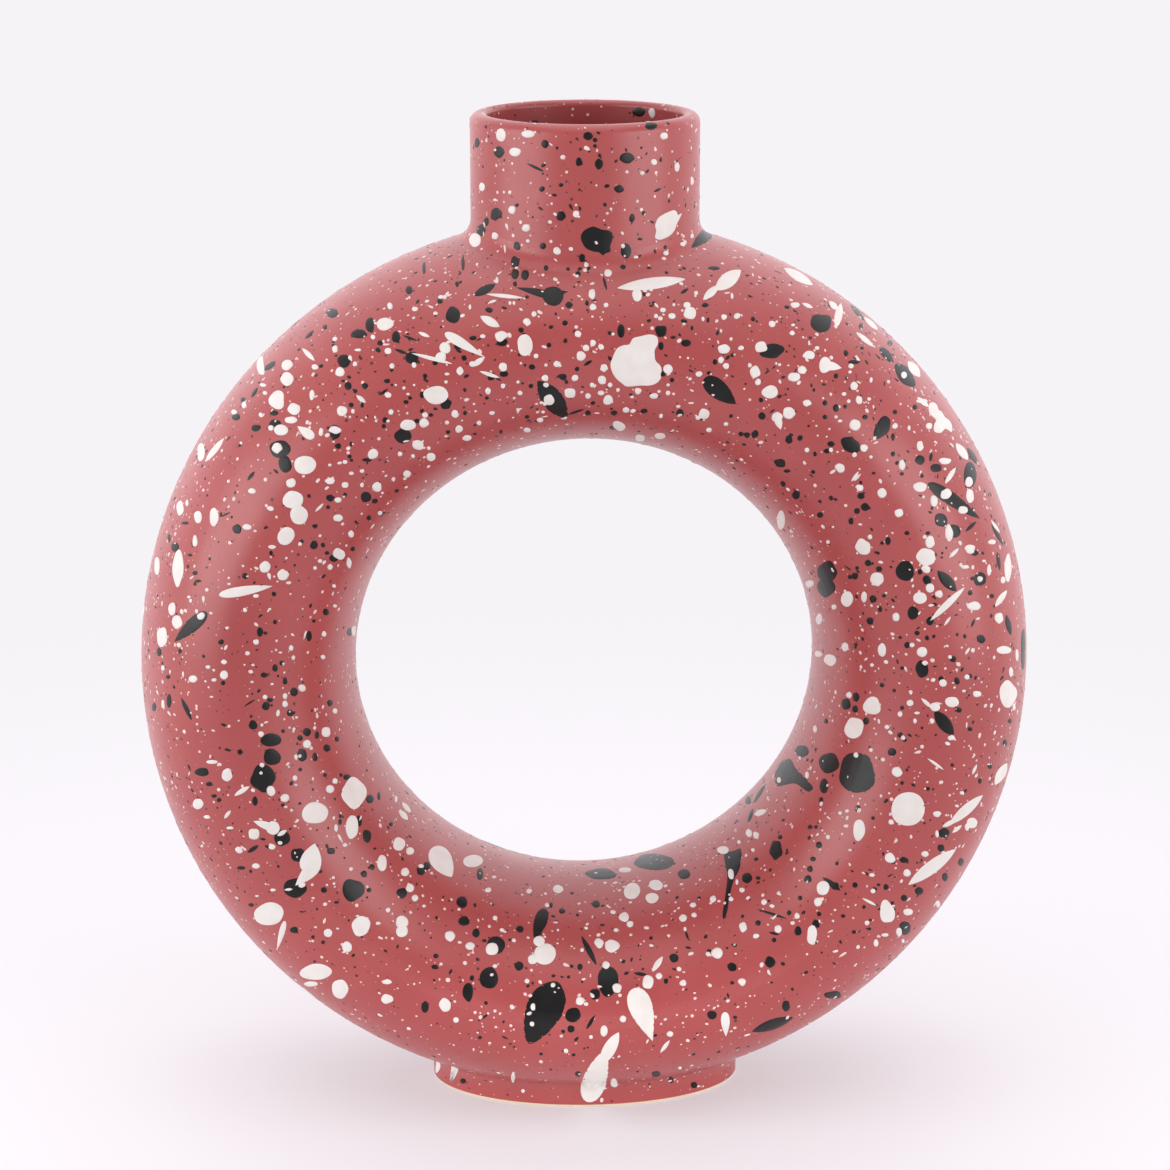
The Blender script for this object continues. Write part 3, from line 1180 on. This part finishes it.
def seen_directly(tree):
    """1 for rays from the camera, and for those that it sends by way of gloss or glass."""
    kinds = ("Is Camera Ray", "Is Glossy Ray", "Is Transmission Ray")
    rays = [Value.node(tree, "ShaderNodeLightPath", output=kind) for kind in kinds]
    return (rays[0] + rays[1] + rays[2]).clamped()


def floor_material():
    """Matt white near the vase, so that its shadow shows, and more of its own glow further off."""
    material, tree = new_tree("pale_floor")
    place = object_place(tree)
    length = {"operation": "LENGTH"}
    distance = Value.node(tree, "ShaderNodeVectorMath", length, {0: place}, output="Value")
    toward_back = Value.node(tree, "ShaderNodeSeparateXYZ", sockets={"Vector": place}, output="Y")
    fade = ((distance - glow_start) * (1 / (glow_end - glow_start))).clamped()
    seen = seen_directly(tree)
    share = seen * (near_glow + fade * (far_glow - near_glow)) + (1 - seen) * bounce_glow
    matt = Value.node(tree, "ShaderNodeBsdfDiffuse", sockets={"Color": dimmed(floor_white, matt_share)})
    in_gloss = Value.node(tree, "ShaderNodeLightPath", output="Is Glossy Ray")
    back_side = (toward_back * back_slope + back_start).clamped()
    gloss = back_side.mix(dimmed(floor_white, front_gloss), dimmed(floor_white, back_gloss))
    glow = Value.node(tree, "ShaderNodeEmission", sockets={"Color": in_gloss.mix(floor_white, gloss)})
    mixed = {0: share, 1: matt, 2: glow}
    show(tree, Value.node(tree, "ShaderNodeMixShader", sockets=mixed))
    return material


floor_angles = [math.tau * k / floor_corners for k in range(floor_corners)]
floor_points = [(floor_radius * math.cos(a), floor_radius * math.sin(a), 0) for a in floor_angles]
floor_mesh = bpy.data.meshes.new("floor")
floor_mesh.from_pydata(floor_points, [], [tuple(range(floor_corners))])
floor_mesh.materials.append(floor_material())
floor = bpy.data.objects.new("floor", floor_mesh)
bpy.context.scene.collection.objects.link(floor)
print("Floor laid")

# %% Light the studio
behind_camera = 0.34
backdrop_light = 1.70
backdrop_slope = 0.8
backdrop_start = 0.4
aim_height = 0.12
foot_height = 0.006
low_fill_spread = 44

world = bpy.data.worlds.new("white_studio")
world.use_nodes = True
tree = world.node_tree
tree.nodes.clear()
way = Value.node(tree, "ShaderNodeTexCoord", output="Generated")
toward_back = Value.node(tree, "ShaderNodeSeparateXYZ", sockets={"Vector": way}, output="Y")
backdrop_side = (toward_back * backdrop_slope + backdrop_start).clamped()
studio = backdrop_side.mix(dimmed(floor_white, behind_camera), dimmed(floor_white, backdrop_light))
by_camera = Value.node(tree, "ShaderNodeLightPath", output="Is Camera Ray")
backdrop = Value.node(tree, "ShaderNodeBackground", sockets={"Color": by_camera.mix(studio, floor_white)})
Value.node(tree, "ShaderNodeOutputWorld", sockets={"Surface": backdrop})
bpy.context.scene.world = world


def softbox(name, place, width, height, watts, aim=aim_height):
    """A rectangular lamp that faces the vase at the height aim."""
    data = bpy.data.lights.new(name, "AREA")
    data.shape = "RECTANGLE"
    data.size = width
    data.size_y = height
    data.energy = watts
    lamp = bpy.data.objects.new(name, data)
    bpy.context.scene.collection.objects.link(lamp)
    lamp.location = place
    lamp.rotation_mode = "QUATERNION"
    lamp.rotation_quaternion = (Vector((0, 0, aim)) - Vector(place)).to_track_quat("-Z", "Y")
    return lamp


softbox("left_softbox", place=(-0.93, -0.41, 0.25), width=0.95, height=0.76, watts=8.5)
softbox("right_softbox", place=(0.85, -0.54, 0.25), width=0.85, height=0.76, watts=7.3)
softbox("front_softbox", place=(0, -0.60, 1.42), width=1.4, height=0.9, watts=4.7)
softbox("top_softbox", place=(0, 0.22, 1.30), width=1.0, height=0.7, watts=2.6)
low_fill = softbox(
    "low_fill", place=(0, -0.22, 0.012), width=0.40, height=0.02, watts=0.036, aim=foot_height
)
low_fill.data.spread = math.radians(low_fill_spread)
low_fill.visible_camera = False
low_fill.visible_glossy = False
bpy.context.scene.view_settings.view_transform = "Standard"
print("Studio lit")
